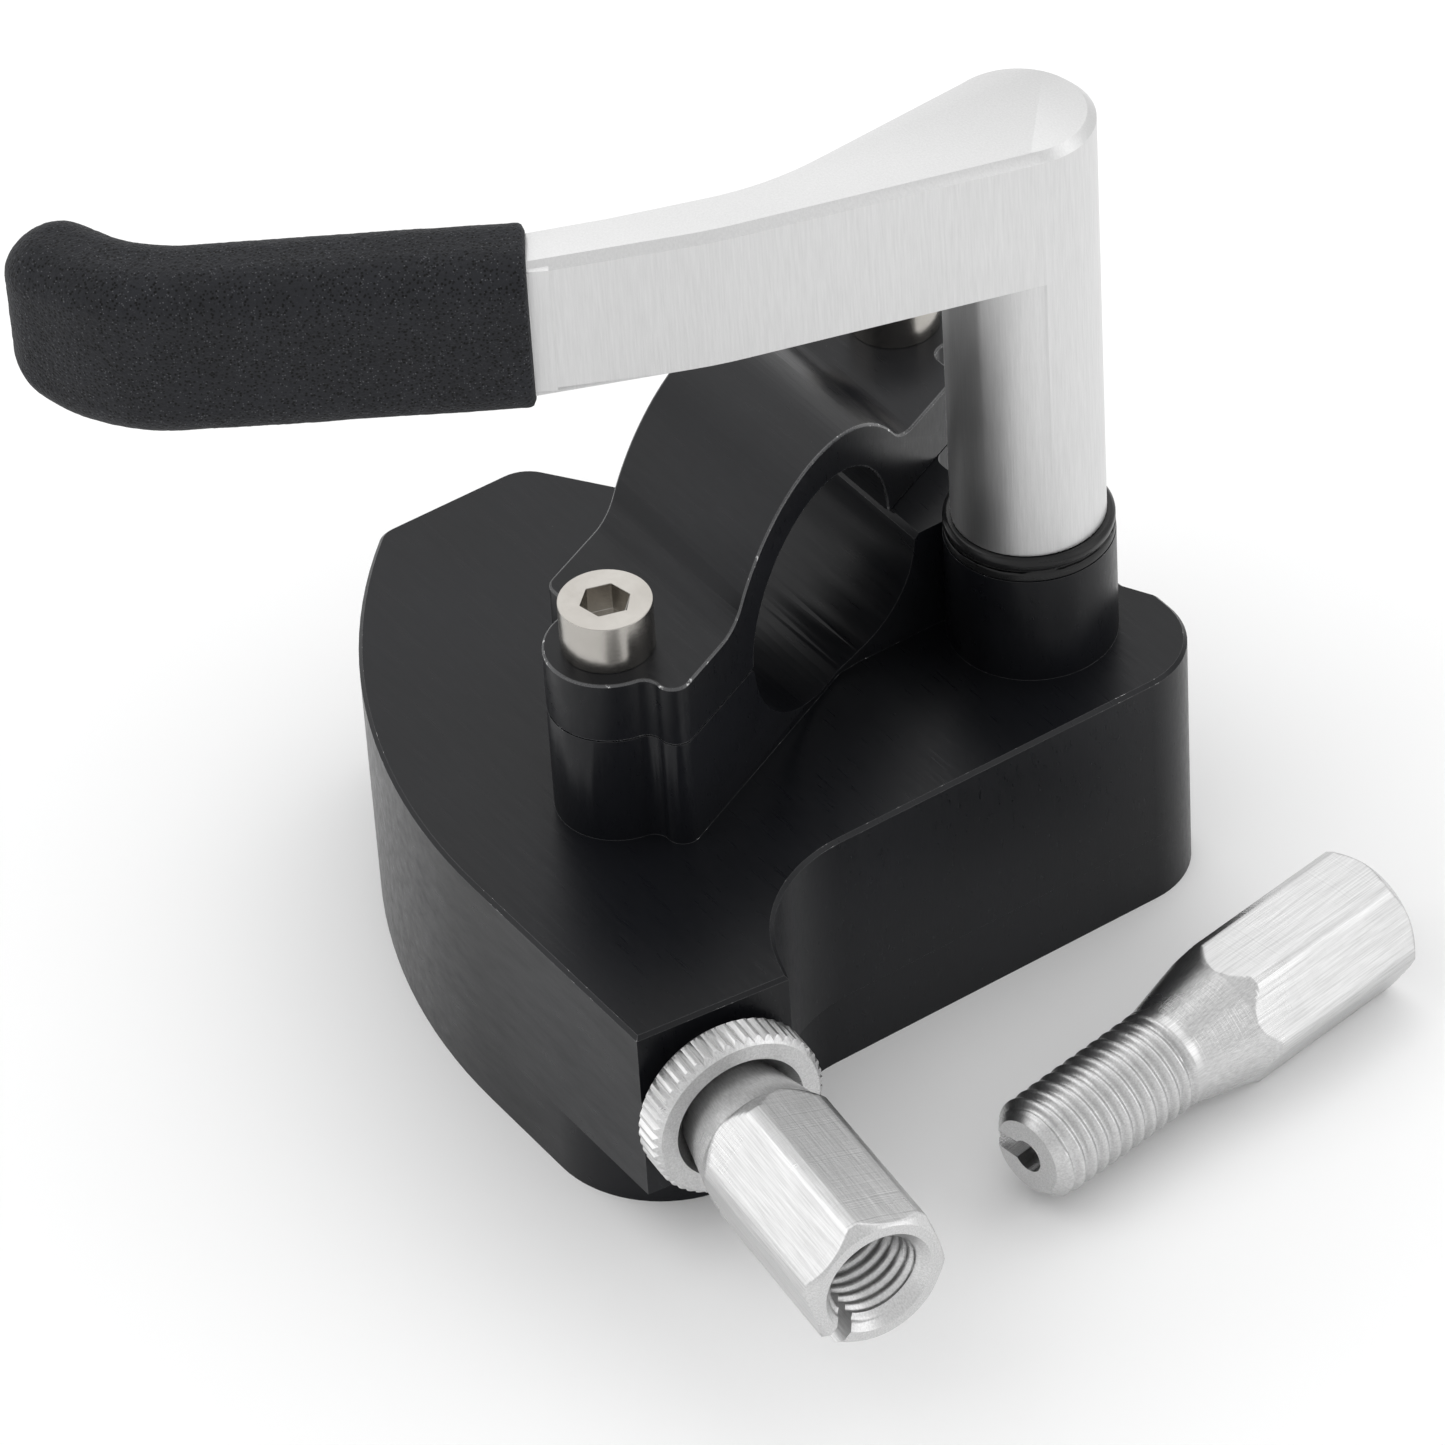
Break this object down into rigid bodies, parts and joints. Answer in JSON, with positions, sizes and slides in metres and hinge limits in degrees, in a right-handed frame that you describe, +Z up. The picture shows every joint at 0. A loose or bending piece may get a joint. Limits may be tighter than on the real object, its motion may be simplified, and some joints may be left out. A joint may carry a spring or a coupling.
{
  "type": "finger throttle lever",
  "caption": "Billet finger throttle lever with a split handlebar clamp, sprung upright post, foam-covered arm and a threaded cable adapter; a spare adapter lies beside it.",
  "frame": {"origin": "on the lever's pivot axis, at the flat underside of the cover plate", "axes": "+Z up along the lever's post, +X along the handlebar towards the cable adapter's side, +Y across the handlebar"},
  "size_m": [0.103, 0.0948, 0.0856],
  "materials": {
    "black_anodised": "black anodised, semi-gloss",
    "satin_aluminium": "satin clear anodised",
    "bright_aluminium": "bright machined",
    "stainless": "turned",
    "spring_steel": "oiled",
    "black_acetal": "turned satin",
    "seal_rubber": "matte",
    "bearing_bronze": "machined",
    "grip_foam": "closed-cell foam"
  },
  "bodies": {
    "housing_body": {"housing": "black_anodised", "cover_plate": "black_anodised", "clamp_cap": "black_anodised", "cover_screws": "stainless", "cover_dowels": "stainless", "clamp_screws": "stainless", "upper_bush": "black_acetal", "spindle_seal": "seal_rubber", "lower_bush": "bearing_bronze", "return_spring": "spring_steel", "spring_anchor_pin": "stainless", "stop_pins": "stainless"},
    "lever": {"lever_arm": "satin_aluminium", "foam_grip": "grip_foam", "lever_grub_screw": "spring_steel", "spindle": "stainless", "spindle_circlip": "spring_steel", "crank_washer": "stainless", "crank": "satin_aluminium", "crank_pin": "spring_steel"},
    "adapter": {"cable_adapter": "bright_aluminium"},
    "locknut": {"adapter_locknut": "bright_aluminium"},
    "spare": {"spare_adapter": "bright_aluminium"}
  },
  "joints": [
    {"name": "lever_pivot", "type": "hinge", "parent": "housing_body", "child": "lever", "pos_m": [0, 0, 0.0375], "axis": [0, 0, 1], "range_deg": [-42, 0], "stiffness_Nm_per_rad": 0.2, "springref_deg": 34.38, "deforming": ["return_spring"]},
    {"name": "adapter_turn", "type": "hinge", "parent": "housing_body", "child": "adapter", "pos_m": [0.04834, -0.05576, 0.017], "axis": [0.9945, -0.1045, 0], "continuous": true},
    {"name": "locknut_turn", "type": "hinge", "parent": "housing_body", "child": "locknut", "pos_m": [0.02636, -0.05345, 0.017], "axis": [0.9945, -0.1045, 0], "continuous": true},
    {"name": "spare_lift", "type": "slide", "parent": "housing_body", "child": "spare", "axis": [0, 0, 1], "range_m": [0, 0.05]}
  ]
}
